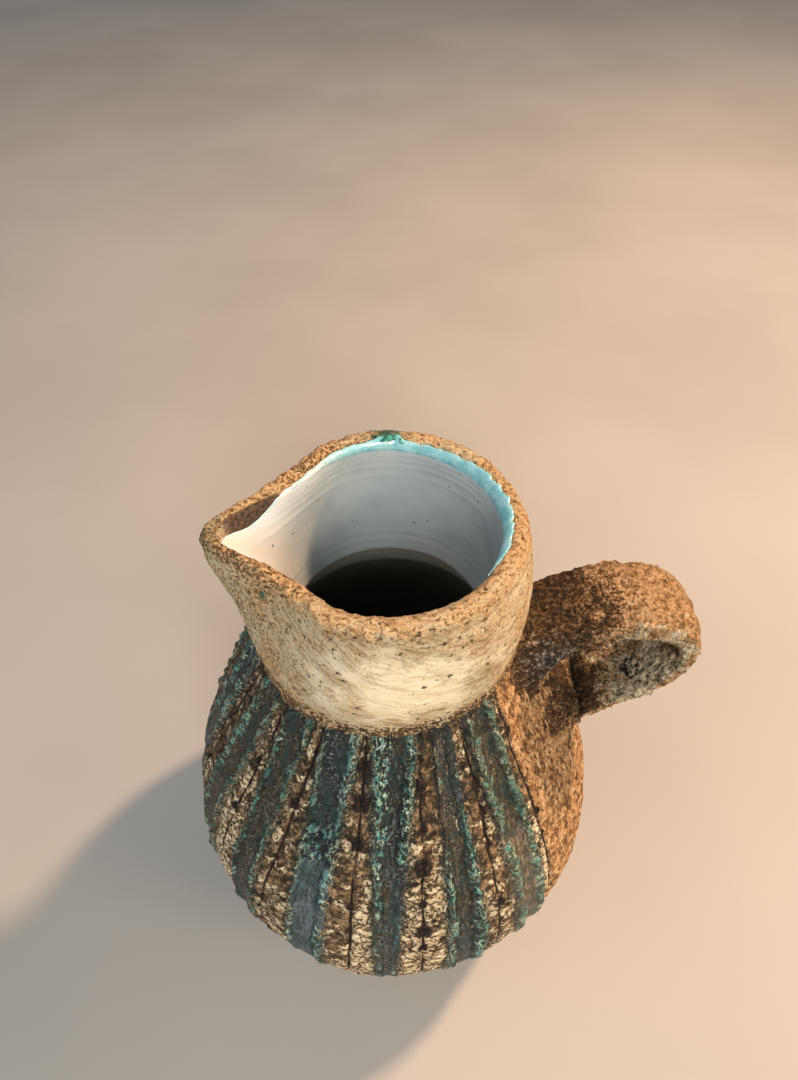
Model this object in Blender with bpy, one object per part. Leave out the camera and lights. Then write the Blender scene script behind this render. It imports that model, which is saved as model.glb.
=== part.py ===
"""A hand-made stoneware jug: a thrown pear-shaped belly, a separately thrown collar with a pulled spout,
a strap handle luted on with two wads of clay, and thick glaze inside, on the rim and in stripes outside.

The origin is the centre of the flat foot. +Z runs up the belly's axis, +X points to the handle, -X to the spout.
"""

import math

import bmesh
import bpy
from mathutils import Vector

MM = 0.001

# Driving dimensions
FOOT_RADIUS = 42 * MM
BELLY_RADIUS = 70 * MM
WIDEST_HEIGHT = 56 * MM
SEAM_RADIUS = 37 * MM
SEAM_HEIGHT = 146 * MM
COLLAR_RADIUS = 39.4 * MM
RIM_RADIUS = 37.4 * MM
RIM_INSIDE_RADIUS = 31.6 * MM
LIP_HEIGHT = 183 * MM
THROAT_RADIUS = 28.4 * MM
WALL = 6.4 * MM
FLOOR = 8 * MM
GLAZE = 0.8 * MM
GAP = 0.3 * MM

# The mouth stands a little further back than the foot
LEAN_BACK = 1.2 * MM

# Pulled spout: how far the lip is drawn out, and how far its flanks are pinched in
SPOUT_AZIMUTH = 183
SPOUT_PULL = 9.2 * MM
SPOUT_THINNING = 1.4 * MM
SPOUT_SPREAD = 14
FLANK_PINCH = 3.6 * MM
FLANK_AZIMUTH = 42
FLANK_SPREAD = 22
SPOUT_START = 157 * MM
SPOUT_FULL = 184 * MM
SPOUT_GLAZE_ROOM = 1.2 * MM

# Turquoise roll of glaze along the lip, as azimuths in degrees
RIM_GLAZE_FIRST = -34
RIM_GLAZE_LAST = 118
RIM_GLAZE_STEP = 8

# Strap handle
STRAP_HALF_WIDTH = 12.6 * MM
STRAP_CROWN = 1.2 * MM
SECTION_POINTS = 14
SECTION_SQUARENESS = 5

# Glaze stripes, counted from the handle round the front. Each leans and widens in its own way: the azimuth of its
# middle and half its width, in degrees, at the foot, at middle height and at the shoulder
STRIPE_LEVELS = (0.0, 86 * MM, 136 * MM)
FRONT_STRIPES = [
    ((-51.5, 5.0), (-51.6, 5.3), (-52.2, 7.2)),
    ((-72.5, 6.4), (-70.8, 5.2), (-69.5, 4.4)),
    ((-92.5, 4.0), (-92.0, 4.3), (-88.5, 8.6)),
    ((-114.5, 6.0), (-113.8, 5.4), (-109.3, 7.0)),
    ((-137.0, 5.0), (-135.0, 4.7), (-129.0, 6.2)),
    ((-158.0, 5.0), (-156.0, 5.0), (-148.0, 6.8)),
]
BACK_STRIPES = 7
LAST_STRIPE_AZIMUTH = -309
BACK_HALF_WIDTHS = (5.2, 7.4)
STRIPE_RISE = 0.9 * MM

SIDES = 40
SMOOTH_ANGLE = math.radians(40)

# Outlines as (radius, height), from bottom to top
BELLY_OUTSIDE = [
    (FOOT_RADIUS, 0.0),
    (50.5 * MM, 6.5 * MM),
    (60.4 * MM, 22 * MM),
    (67.5 * MM, 39 * MM),
    (BELLY_RADIUS, WIDEST_HEIGHT),
    (66.6 * MM, 79 * MM),
    (58 * MM, 101 * MM),
    (47 * MM, 124.5 * MM),
    (SEAM_RADIUS, SEAM_HEIGHT),
]
COLLAR_OUTSIDE = [
    (SEAM_RADIUS, SEAM_HEIGHT + GAP),
    (38.5 * MM, 154 * MM),
    (COLLAR_RADIUS, 165 * MM),
    (39 * MM, 175 * MM),
    (RIM_RADIUS, LIP_HEIGHT),
]
COLLAR_INSIDE = [
    (THROAT_RADIUS, SEAM_HEIGHT + GAP),
    (30.6 * MM, 153 * MM),
    (32 * MM, 164 * MM),
    (32.1 * MM, 174 * MM),
    (RIM_INSIDE_RADIUS, LIP_HEIGHT),
]

# Middle of the strap's thickness from the upper wad round to the lower one, as (x, z, thickness)
STRAP_PATH = [
    (54.5 * MM, 148.2 * MM, 9 * MM),
    (62 * MM, 150.9 * MM, 8.4 * MM),
    (70.5 * MM, 151.7 * MM, 8 * MM),
    (79 * MM, 149.7 * MM, 7.2 * MM),
    (85.3 * MM, 144.6 * MM, 6.2 * MM),
    (87 * MM, 137.4 * MM, 5.4 * MM),
    (84 * MM, 129.4 * MM, 5 * MM),
    (77.8 * MM, 122 * MM, 5 * MM),
    (70.8 * MM, 116.4 * MM, 5.2 * MM),
    (64 * MM, 112 * MM, 6.4 * MM),
]

# The wads between the strap's ends and the wall, as (x, y, z, half width, half height)
UPPER_WAD = [
    (35 * MM, -1.5 * MM, 134 * MM, 19 * MM, 12.5 * MM),
    (43 * MM, -1 * MM, 141 * MM, 16.5 * MM, 9.5 * MM),
    (49 * MM, -0.4 * MM, 145 * MM, 13.6 * MM, 6.4 * MM),
]
LOWER_WAD = [
    (60 * MM, 0.0, 109.4 * MM, 13.2 * MM, 5 * MM),
    (55 * MM, 0.0, 107 * MM, 16 * MM, 8.6 * MM),
    (48 * MM, 0.0, 105 * MM, 18 * MM, 11 * MM),
]


def clear_scene():
    for old in list(bpy.data.objects):
        bpy.data.objects.remove(old, do_unlink=True)


def pottery(name, colour, roughness):
    """A plain Principled material for one piece."""
    material = bpy.data.materials.new(name)
    material.use_nodes = True
    shader = material.node_tree.nodes["Principled BSDF"]
    shader.inputs["Base Color"].default_value = (*colour, 1)
    shader.inputs["Roughness"].default_value = roughness
    shader.inputs["Metallic"].default_value = 0
    return material


def add_piece(name, bm, colour, roughness):
    """Turns a bmesh into a named object with its own material."""
    bmesh.ops.recalc_face_normals(bm, faces=bm.faces)
    mesh = bpy.data.meshes.new(name)
    bm.to_mesh(mesh)
    bm.free()
    mesh.materials.append(pottery(name, colour, roughness))
    mesh.shade_smooth()
    mesh.set_sharp_from_angle(angle=SMOOTH_ANGLE)
    piece = bpy.data.objects.new(name, mesh)
    bpy.context.scene.collection.objects.link(piece)
    return piece


def catmull_rom(p, q, r, s, t):
    return 0.5 * (2 * q + (r - p) * t + (2 * p - 5 * q + 4 * r - s) * t**2 + (3 * q - p - 3 * r + s) * t**3)


def curve_through(points, steps=2):
    """Smooth curve through tuples of equal length, with a number of steps to each stretch."""
    ends = [points[0], *points, points[-1]]
    curve = []
    for four in zip(ends, ends[1:], ends[2:], ends[3:]):
        for step in range(steps):
            curve.append(tuple(catmull_rom(*values, step / steps) for values in zip(*four)))
    return [*curve, points[-1]]


def moved_out(outline, distance):
    """An outline moved along its normals, away from the axis where the distance is positive."""
    moved = []
    for index, (radius, height) in enumerate(outline):
        before = Vector(outline[max(index - 1, 0)])
        after = Vector(outline[min(index + 1, len(outline) - 1)])
        along = (after - before).normalized()
        moved.append((radius + along.y * distance, height - along.x * distance))
    return moved


def turned(outline, closed):
    """Spins an outline round Z. A closed outline goes back to its first point, an open one starts and ends on Z."""
    bm = bmesh.new()
    verts = [bm.verts.new((radius, 0, height)) for radius, height in outline]
    edges = [bm.edges.new(pair) for pair in zip(verts, verts[1:])]
    if closed:
        edges.append(bm.edges.new((verts[-1], verts[0])))
    full_turn = 2 * math.pi
    geometry = verts + edges
    bmesh.ops.spin(bm, geom=geometry, axis=(0, 0, 1), angle=full_turn, steps=SIDES, use_merge=True)
    bmesh.ops.remove_doubles(bm, verts=bm.verts, dist=GAP / 30)
    return bm


def loft(sections):
    """Skins closed sections that have equal numbers of points, and caps both ends."""
    bm = bmesh.new()
    rings = [[bm.verts.new(point) for point in section] for section in sections]
    for ring, following in zip(rings, rings[1:]):
        for index in range(len(ring)):
            bm.faces.new((ring[index - 1], ring[index], following[index], following[index - 1]))
    bm.faces.new(rings[0])
    bm.faces.new(rings[-1])
    return bm


def on_turn(radius, azimuth, height):
    """The point at a radius, an azimuth in degrees and a height."""
    turn = math.radians(azimuth)
    return Vector((radius * math.cos(turn), radius * math.sin(turn), height))


def bump(value, centre, spread):
    return math.exp(-(((value - centre) / spread) ** 2))


def shape_mouth(bm, room=0.0):
    """Leans a turned shape back, draws its lip out into the spout and pinches the lip in on both sides of it.

    A skin inside the spout's curved walls is held back from them by the room it needs.
    """
    for vertex in bm.verts:
        radius = math.hypot(vertex.co.x, vertex.co.y)
        azimuth = math.degrees(math.atan2(vertex.co.y, vertex.co.x))
        off = abs((azimuth - SPOUT_AZIMUTH + 180) % 360 - 180)
        rise = min(max((vertex.co.z - SPOUT_START) / (SPOUT_FULL - SPOUT_START), 0), 1)
        rise = rise * rise * (3 - 2 * rise)
        depth = (RIM_RADIUS - radius) / (RIM_RADIUS - RIM_INSIDE_RADIUS)
        pull = (SPOUT_PULL + SPOUT_THINNING * depth) * bump(off, 0, SPOUT_SPREAD)
        pinch = FLANK_PINCH * bump(off, FLANK_AZIMUTH, FLANK_SPREAD)
        held_back = room * bump(off, 0, 2 * FLANK_SPREAD)
        vertex.co = on_turn(radius + rise * (pull - pinch - held_back), azimuth, vertex.co.z)
        vertex.co.y += rise * LEAN_BACK


def belly_inside():
    """Inner outline of the belly's clay, from the middle of its floor up to the throat."""
    wall = moved_out(curve_through(BELLY_OUTSIDE)[3:-3], -WALL)
    floor_curve = [(0.0, FLOOR), (30 * MM, FLOOR), (42 * MM, FLOOR + 2 * MM)]
    return [*floor_curve, *wall, (THROAT_RADIUS, SEAM_HEIGHT)]


def make_belly():
    outline = [(0.0, 0.0), *curve_through(BELLY_OUTSIDE), *reversed(belly_inside())]
    add_piece("belly_wall", turned(outline, closed=False), (0.42, 0.28, 0.16), 0.9)


def lip_arc(offset, first, last, steps):
    """Points round the lip's half-round top in the XZ plane, an offset away from it. Angles in degrees from +X."""
    lip_radius = (RIM_RADIUS - RIM_INSIDE_RADIUS) / 2
    arc = []
    for step in range(steps + 1):
        turn = math.radians(first + (last - first) * step / steps)
        reach = lip_radius + offset
        arc.append((RIM_RADIUS - lip_radius + reach * math.cos(turn), LIP_HEIGHT + reach * math.sin(turn)))
    return arc


def make_collar():
    top = lip_arc(0, 0, 180, 5)[1:-1]
    outline = [*curve_through(COLLAR_OUTSIDE), *top, *reversed(curve_through(COLLAR_INSIDE))]
    bm = turned(outline, closed=True)
    shape_mouth(bm)
    add_piece("collar_with_spout", bm, (0.72, 0.6, 0.42), 0.85)


def make_inside_glaze():
    """Dark glaze in the belly and white glaze in the collar, each a thin skin on the clay."""
    outline = belly_inside()
    skin = [*moved_out(outline, -GAP), *reversed(moved_out(outline, -GAP - GLAZE))]
    add_piece("belly_inside_glaze", turned(skin, closed=False), (0.03, 0.028, 0.025), 0.3)
    outline = curve_through(COLLAR_INSIDE)
    skin = [*moved_out(outline, -GAP), *reversed(moved_out(outline, -GAP - GLAZE))]
    bm = turned(skin, closed=True)
    shape_mouth(bm, SPOUT_GLAZE_ROOM)
    add_piece("collar_inside_glaze", bm, (0.78, 0.8, 0.8), 0.15)


def make_rim_glaze():
    """A roll of turquoise glaze on the inner side of the lip, round the back and the handle side."""
    outline = [*lip_arc(GAP, 100, 170, 4), *reversed(lip_arc(GAP + GLAZE, 106, 164, 3))]
    azimuths = range(RIM_GLAZE_FIRST, RIM_GLAZE_LAST + 1, RIM_GLAZE_STEP)
    bm = loft([[on_turn(radius, azimuth, height) for radius, height in outline] for azimuth in azimuths])
    shape_mouth(bm)
    add_piece("rim_turquoise_glaze", bm, (0.2, 0.6, 0.62), 0.15)


def cross_section(centre, along, half_width, half_height, crown):
    """A flat rounded section with its width along Y, crowned on the side to the left of its direction."""
    outward = Vector((-along.z, 0, along.x))
    points = []
    for index in range(SECTION_POINTS):
        turn = 2 * math.pi * (index + 0.5) / SECTION_POINTS
        power = 2 / SECTION_SQUARENESS
        side = math.copysign(abs(math.cos(turn)) ** power, math.cos(turn))
        rise = math.copysign(abs(math.sin(turn)) ** power, math.sin(turn))
        lift = half_height * rise + (crown * (1 - side * side) if rise > 0 else 0)
        points.append(centre + Vector((0, half_width * side, 0)) + outward * lift)
    return points


def strap_sections():
    """(centre, direction, half thickness) at each section of the strap."""
    path = curve_through(STRAP_PATH)
    sections = []
    for index, (x, z, thickness) in enumerate(path):
        before = path[max(index - 1, 0)]
        after = path[min(index + 1, len(path) - 1)]
        along = Vector((after[0] - before[0], 0, after[1] - before[1])).normalized()
        sections.append((Vector((x, 0, z)), along, thickness / 2))
    return sections


def make_strap():
    sections = [cross_section(*place, STRAP_HALF_WIDTH, half, STRAP_CROWN) for *place, half in strap_sections()]
    add_piece("handle_strap", loft(sections), (0.5, 0.32, 0.17), 0.95)


def wad_sections(places, direction):
    """Sections of a wad of clay across a direction that all of them share."""
    return [
        cross_section(Vector((x, y, z)), direction, half_width, half_height, 0)
        for x, y, z, half_width, half_height in places
    ]


def make_wads(cutter):
    """The two wads of clay, shaped to the wall on one side and to the strap's end on the other."""
    start, start_along, start_half = strap_sections()[0]
    end, end_along, end_half = strap_sections()[-1]
    joint = cross_section(start - start_along * GAP, start_along, STRAP_HALF_WIDTH, start_half, STRAP_CROWN)
    upper = loft([*wad_sections(UPPER_WAD, start_along), joint])
    joint = cross_section(end + end_along * GAP, end_along, STRAP_HALF_WIDTH, end_half, STRAP_CROWN)
    lower = loft([joint, *wad_sections(LOWER_WAD, end_along)])
    for name, bm in (("handle_upper_wad", upper), ("handle_lower_wad", lower)):
        wad = add_piece(name, bm, (0.3, 0.19, 0.11), 0.95)
        cut = wad.modifiers.new("fit to wall", "BOOLEAN")
        cut.operation = "DIFFERENCE"
        cut.object = cutter


def make_wall_cutter():
    """The jug's outside swollen by the gap, as one solid."""
    outside = moved_out([*curve_through(BELLY_OUTSIDE), *curve_through(COLLAR_OUTSIDE)[1:]], GAP)
    outline = [(0.0, 0.0), *outside, (0.0, LIP_HEIGHT)]
    cutter = add_piece("wall_cutter", turned(outline, closed=False), (1, 1, 1), 1)
    cutter.hide_render = True
    cutter.display_type = "WIRE"
    return cutter


def stripe_plan():
    """(middle azimuth, half width) of every stripe at the three levels: the front ones, then the evenly set ones."""
    plan = list(FRONT_STRIPES)
    for index in range(1, BACK_STRIPES + 1):
        share = index / BACK_STRIPES
        half = BACK_HALF_WIDTHS[index % 2]
        middles = [middle + (LAST_STRIPE_AZIMUTH - middle) * share for middle, _ in FRONT_STRIPES[-1]]
        plan.append(tuple((middle, half) for middle in middles))
    return plan


def at_height(levels, height):
    """The quadratic through the values that a list gives at the three stripe levels."""
    total = 0
    for index, (value, level) in enumerate(zip(levels, STRIPE_LEVELS)):
        weight = 1
        for other in STRIPE_LEVELS[:index] + STRIPE_LEVELS[index + 1 :]:
            weight *= (height - other) / (level - other)
        total += value * weight
    return total


def stripe_rows():
    """The stretch of the belly's outside that a stripe covers, ending a little under the seam."""
    outside = curve_through(BELLY_OUTSIDE)
    below, seam = Vector(outside[-2]), Vector(outside[-1])
    return [*outside[3:-1], tuple(below.lerp(seam, 0.65))]


def make_stripes():
    """Raised stripes of glaze down the belly."""
    rows = stripe_rows()
    under = moved_out(rows, GAP)
    over = moved_out(rows, GAP + STRIPE_RISE)
    for index, levels in enumerate(stripe_plan()):
        middles, halves = zip(*levels)
        sections = []
        for (low_radius, low_height), (top_radius, top_height) in zip(under, over):
            middle, half = at_height(middles, low_height), at_height(halves, low_height)
            backs = [on_turn(low_radius, middle + side * half, low_height) for side in (-1, 0, 1)]
            fronts = [on_turn(top_radius, middle + side * half, top_height) for side in (0.7, 0, -0.7)]
            sections.append(backs + fronts)
        add_piece(f"glaze_stripe_{index + 1:02d}", loft(sections), (0.1, 0.2, 0.2), 0.6)


clear_scene()
make_belly()
make_collar()
make_inside_glaze()
make_rim_glaze()
make_strap()
make_wads(make_wall_cutter())
make_stripes()
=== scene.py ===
"""The looks of a hand-made stoneware jug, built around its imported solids.

Lengths are in millimetres until a mesh is made. The origin is the centre of the foot, and +Z runs up the
belly's axis. +X points to the handle and -X to the spout. Azimuths are in degrees from +X, seen from above.
"""

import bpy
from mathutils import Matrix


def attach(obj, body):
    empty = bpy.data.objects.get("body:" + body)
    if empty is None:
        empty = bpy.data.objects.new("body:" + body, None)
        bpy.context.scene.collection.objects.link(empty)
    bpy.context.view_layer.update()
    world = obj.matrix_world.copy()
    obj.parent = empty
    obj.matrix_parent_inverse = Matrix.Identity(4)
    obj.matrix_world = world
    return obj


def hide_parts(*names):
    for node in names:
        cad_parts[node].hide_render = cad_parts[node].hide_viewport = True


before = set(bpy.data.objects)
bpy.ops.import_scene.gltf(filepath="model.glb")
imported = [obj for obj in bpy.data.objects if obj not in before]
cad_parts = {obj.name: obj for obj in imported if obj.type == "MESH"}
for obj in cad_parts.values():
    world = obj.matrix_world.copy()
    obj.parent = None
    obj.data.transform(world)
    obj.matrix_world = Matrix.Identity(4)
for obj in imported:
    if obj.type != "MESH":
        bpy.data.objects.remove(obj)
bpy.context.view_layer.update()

import copy
import itertools
import math
import types

import bpy
import numpy as np

MM = 0.001

# ---- Driving dimensions, as the solids have them ----
FOOT_RADIUS = 42
SEAM_HEIGHT = 146
RIM_RADIUS = 37.4
RIM_INSIDE_RADIUS = 31.6
LIP_HEIGHT = 183
LIP_ROUND = (RIM_RADIUS - RIM_INSIDE_RADIUS) / 2
LIP_MIDDLE = RIM_RADIUS - LIP_ROUND
THROAT_RADIUS = 28.4
WALL = 6.4
FLOOR = 8
LEAN_BACK = 1.2

SPOUT_AZIMUTH = 183
SPOUT_PULL = 9.2
SPOUT_THINNING = 1.4
SPOUT_SPREAD = 14
FLANK_PINCH = 3.6
FLANK_AZIMUTH = 42
FLANK_SPREAD = 22
SPOUT_START = 157
SPOUT_FULL = 184

# The front of the lip is thicker and a little higher than the rest, in the looks only
FRONT_AZIMUTH = -92
FRONT_SPREAD = 42
FRONT_START = 168
FRONT_THICKENING = 1.2
FRONT_RISE = 1.0

STRAP_HALF_WIDTH = 12.6
STRAP_CROWN = 1.2

# Outlines of the walls, as radius and height
BELLY_OUTSIDE = [
    (FOOT_RADIUS, 0), (50.5, 6.5), (60.4, 22), (67.5, 39), (70, 56), (66.6, 79), (58, 101), (47, 124.5),
    (37, SEAM_HEIGHT),
]
COLLAR_OUTSIDE = [(37, 146.3), (38.5, 154), (39.4, 165), (39, 175), (RIM_RADIUS, LIP_HEIGHT)]
COLLAR_INSIDE = [
    (THROAT_RADIUS, 146.3), (30.6, 153), (32, 164), (32.1, 174), (RIM_INSIDE_RADIUS, LIP_HEIGHT),
]

# The strap's middle line, as x, z and thickness
STRAP_PATH = [
    (54.5, 148.2, 9), (62, 150.9, 8.4), (70.5, 151.7, 8), (79, 149.7, 7.2), (85.3, 144.6, 6.2),
    (87, 137.4, 5.4), (84, 129.4, 5), (77.8, 122, 5), (70.8, 116.4, 5.2), (64, 112, 6.4),
]


# ---- Curves and noise ----
def curve_through(points, steps):
    """Smooth curve through points, with a number of steps from each point to the next."""
    points = np.array(points, float)
    padded = np.vstack([points[:1], points, points[-1:]])
    t = np.arange(steps)[:, None] / steps
    curve = []
    for p, q, r, s in zip(padded, padded[1:], padded[2:], padded[3:]):
        bend, twist = 2 * p - 5 * q + 4 * r - s, 3 * q - p - 3 * r + s
        curve.append(0.5 * (2 * q + (r - p) * t + bend * t**2 + twist * t**3))
    return np.vstack([*curve, points[-1:]])


def lengths_along(curve):
    steps = np.linalg.norm(np.diff(curve[:, :2], axis=0), axis=1)
    return np.concatenate([[0], np.cumsum(steps)])


def at_lengths(curve, lengths):
    """Points of a curve at the given lengths along it."""
    along = lengths_along(curve)
    return np.stack([np.interp(lengths, along, column) for column in curve.T], axis=-1)


def outward(curve):
    """Normals of a (radius, height) curve that runs upwards, pointing away from the axis."""
    slope = np.gradient(curve[:, :2], axis=0)
    slope /= np.linalg.norm(slope, axis=1, keepdims=True)
    return np.stack([slope[:, 1], -slope[:, 0]], axis=-1)


def wall_at(curve, lengths):
    """Points of a (radius, height) curve at lengths along it, and the normals there."""
    both = at_lengths(np.hstack([curve, outward(curve)]), lengths)
    return both[:, :2], both[:, 2:]


def ease(value, low, high):
    """0 at low, 1 at high and smooth between them. Low may be above high."""
    t = np.clip((value - low) / (high - low), 0, 1)
    return t * t * (3 - 2 * t)


def bell(value, centre, spread):
    return np.exp(-(((value - centre) / spread) ** 2))


def turn_between(azimuth, centre):
    """Signed angle from a centre to an azimuth, within half a turn."""
    return (azimuth - centre + 180) % 360 - 180


def sector(azimuth, centre, spread):
    """1 at the centre azimuth, fading towards 0 on both sides of it."""
    return bell(turn_between(azimuth, centre), 0, spread)


def out_and_back(value):
    """Values for the rows of a coat's outer face, then the same in reverse for its inner face."""
    return np.vstack([value, value[::-1]])


class Noise:
    """Smooth noise in three dimensions, about -1 to 1, from a seeded table."""

    def __init__(self, seed):
        source = np.random.default_rng(seed)
        self.table = source.permutation(256)
        slopes = source.normal(size=(256, 3))
        self.slopes = slopes / np.linalg.norm(slopes, axis=1, keepdims=True)
        self.spots = source.random((256, 3))

    def corner(self, cell):
        t = self.table
        return t[(t[(t[cell[..., 0] & 255] + cell[..., 1]) & 255] + cell[..., 2]) & 255]

    def at(self, points):
        cell = np.floor(points).astype(int)
        part = points - cell
        fade = part**3 * (part * (part * 6 - 15) + 10)
        total = 0
        for corner in itertools.product((0, 1), repeat=3):
            weight = np.prod(np.where(corner, fade, 1 - fade), axis=-1)
            slope = self.slopes[self.corner(cell + corner)]
            total = total + weight * np.sum(slope * (part - corner), axis=-1)
        return total * 1.7

    def fractal(self, points, size, octaves=4, gain=0.55):
        """Several octaves. The size is that of the coarsest features, or three sizes, one for each axis."""
        scaled = points / np.array(size, float)
        total, reach, height = 0, 0, 1
        for octave in range(octaves):
            total = total + height * self.at(scaled * 2**octave + 17.3 * octave)
            reach += height
            height *= gain
        return total / reach * 1.4

    def cells(self, points, size):
        """Distance in cells to the nearest of one random spot per cell, and that cell's number, 0 to 1."""
        scaled = points / np.array(size, float)
        cell = np.floor(scaled).astype(int)
        nearest = np.full(scaled.shape[:-1], 9.0)
        number = np.zeros(scaled.shape[:-1])
        for step in itertools.product((-1, 0, 1), repeat=3):
            corner = self.corner(cell + step)
            away = np.linalg.norm(cell + step + self.spots[corner] - scaled, axis=-1)
            closer = away < nearest
            nearest = np.where(closer, away, nearest)
            number = np.where(closer, corner / 255, number)
        return nearest, number


noise = Noise(11)
grit = Noise(29)


# ---- Grids and meshes ----
FLOW_RADIUS = 60


def on_turn(radius, azimuth, height):
    turn = np.radians(azimuth)
    return np.stack(np.broadcast_arrays(radius * np.cos(turn), radius * np.sin(turn), height), axis=-1)


def off_wall(wall, normals, azimuth, lift):
    """Points that stand off a turned wall by a lift."""
    return on_turn(wall[:, [0]] + normals[:, [0]] * lift, azimuth, wall[:, [1]] + normals[:, [1]] * lift)


def flow_of(azimuth, length):
    """Coordinates that follow a turned wall: two round it and one along it."""
    return on_turn(FLOW_RADIUS, azimuth, length)


def shape_mouth(points):
    """Leans the mouth back, draws out the spout, pinches the lip beside it and thickens the lip's front."""
    x, y, z = np.moveaxis(points, -1, 0)
    radius, azimuth = np.hypot(x, y), np.degrees(np.arctan2(y, x))
    off = np.abs(turn_between(azimuth, SPOUT_AZIMUTH))
    rise = ease(z, SPOUT_START, SPOUT_FULL)
    depth = (RIM_RADIUS - radius) / (RIM_RADIUS - RIM_INSIDE_RADIUS)
    pull = (SPOUT_PULL + SPOUT_THINNING * depth) * bell(off, 0, SPOUT_SPREAD)
    pinch = FLANK_PINCH * bell(off, FLANK_AZIMUTH, FLANK_SPREAD)
    front = ease(z, FRONT_START, LIP_HEIGHT) * sector(azimuth, FRONT_AZIMUTH, FRONT_SPREAD)
    thicker = FRONT_THICKENING * front * np.clip(depth, 0, 1)
    shaped = on_turn(radius + rise * (pull - pinch) - thicker, azimuth, z + FRONT_RISE * front)
    shaped[..., 1] += rise * LEAN_BACK
    return shaped


def grid_normals(grid, joined=False):
    """Unit normals of a grid whose columns go round and whose rows run along it."""
    across = np.roll(grid, -1, axis=1) - np.roll(grid, 1, axis=1)
    if joined:
        along = np.roll(grid, -1, axis=0) - np.roll(grid, 1, axis=0)
    else:
        along = np.gradient(grid, axis=0)
    normals = np.cross(across, along)
    size = np.linalg.norm(normals, axis=-1, keepdims=True)
    return normals / np.maximum(size, 1e-9)


def grid_faces(rows, columns, joined):
    """Quads between the rows, and fans to a centre point at each end that isn't joined."""
    row = np.arange(rows if joined else rows - 1)[:, None]
    here, following = np.arange(columns), (np.arange(columns) + 1) % columns
    low, high = row * columns, (row + 1) % rows * columns
    quads = np.stack([low + here, low + following, high + following, high + here], axis=-1)
    quads = quads.reshape(-1, 4).tolist()
    if joined:
        return quads
    bottom, top, last = rows * columns, rows * columns + 1, (rows - 1) * columns
    fans = [(f, h, bottom) for h, f in zip(here.tolist(), following.tolist())]
    fans += [(last + h, last + f, top) for h, f in zip(here.tolist(), following.tolist())]
    return quads + fans


def signed_volume(points, faces):
    """Six times the volume inside the faces, below 0 where they face inwards."""
    total = 0.0
    for corners in (3, 4):
        same = np.array([face for face in faces if len(face) == corners])
        for step in range(1, corners - 1):
            if len(same):
                a, b, c = (points[same[:, index]] for index in (0, step, step + 1))
                total += np.einsum("ij,ij->", a, np.cross(b, c))
    return total


def add_piece(name, grid, material, nodes, values=None, joined=False):
    """A closed mesh from a grid of points, with a value for each point under each name in values."""
    rows, columns = grid.shape[:2]
    points = grid.reshape(-1, 3)
    if not joined:
        points = np.vstack([points, grid[0].mean(0), grid[-1].mean(0)])
    faces = grid_faces(rows, columns, joined)
    if signed_volume(points, faces) < 0:
        faces = [tuple(reversed(face)) for face in faces]
    mesh = bpy.data.meshes.new(name)
    mesh.from_pydata(points * MM, [], faces)
    for label, value in (values or {}).items():
        size, kind, field = (3, "FLOAT_VECTOR", "vector") if np.ndim(value) == 3 else (1, "FLOAT", "value")
        flat = np.broadcast_to(value, (rows, columns, 3) if size == 3 else (rows, columns)).reshape(-1, size)
        if not joined:
            flat = np.vstack([flat, flat[:columns].mean(0), flat[-columns:].mean(0)])
        attribute = mesh.attributes.new(label, kind, "POINT")
        attribute.data.foreach_set(field, np.ascontiguousarray(flat, np.float32).ravel())
    mesh.shade_smooth()
    mesh.materials.append(material)
    piece = bpy.data.objects.new(name, mesh)
    bpy.context.scene.collection.objects.link(piece)
    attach(piece, "root")
    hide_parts(*nodes)
    return piece


# ---- Materials ----
class Value:
    """A number in a material's node graph that can be worked with like a plain one."""

    def __init__(self, finish, socket):
        self.finish, self.socket = finish, socket

    def __add__(self, other):
        return self.finish.math("ADD", self, other)

    def __sub__(self, other):
        return self.finish.math("SUBTRACT", self, other)

    def __mul__(self, other):
        return self.finish.math("MULTIPLY", self, other)

    def __abs__(self):
        return self.finish.math("ABSOLUTE", self)


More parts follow.
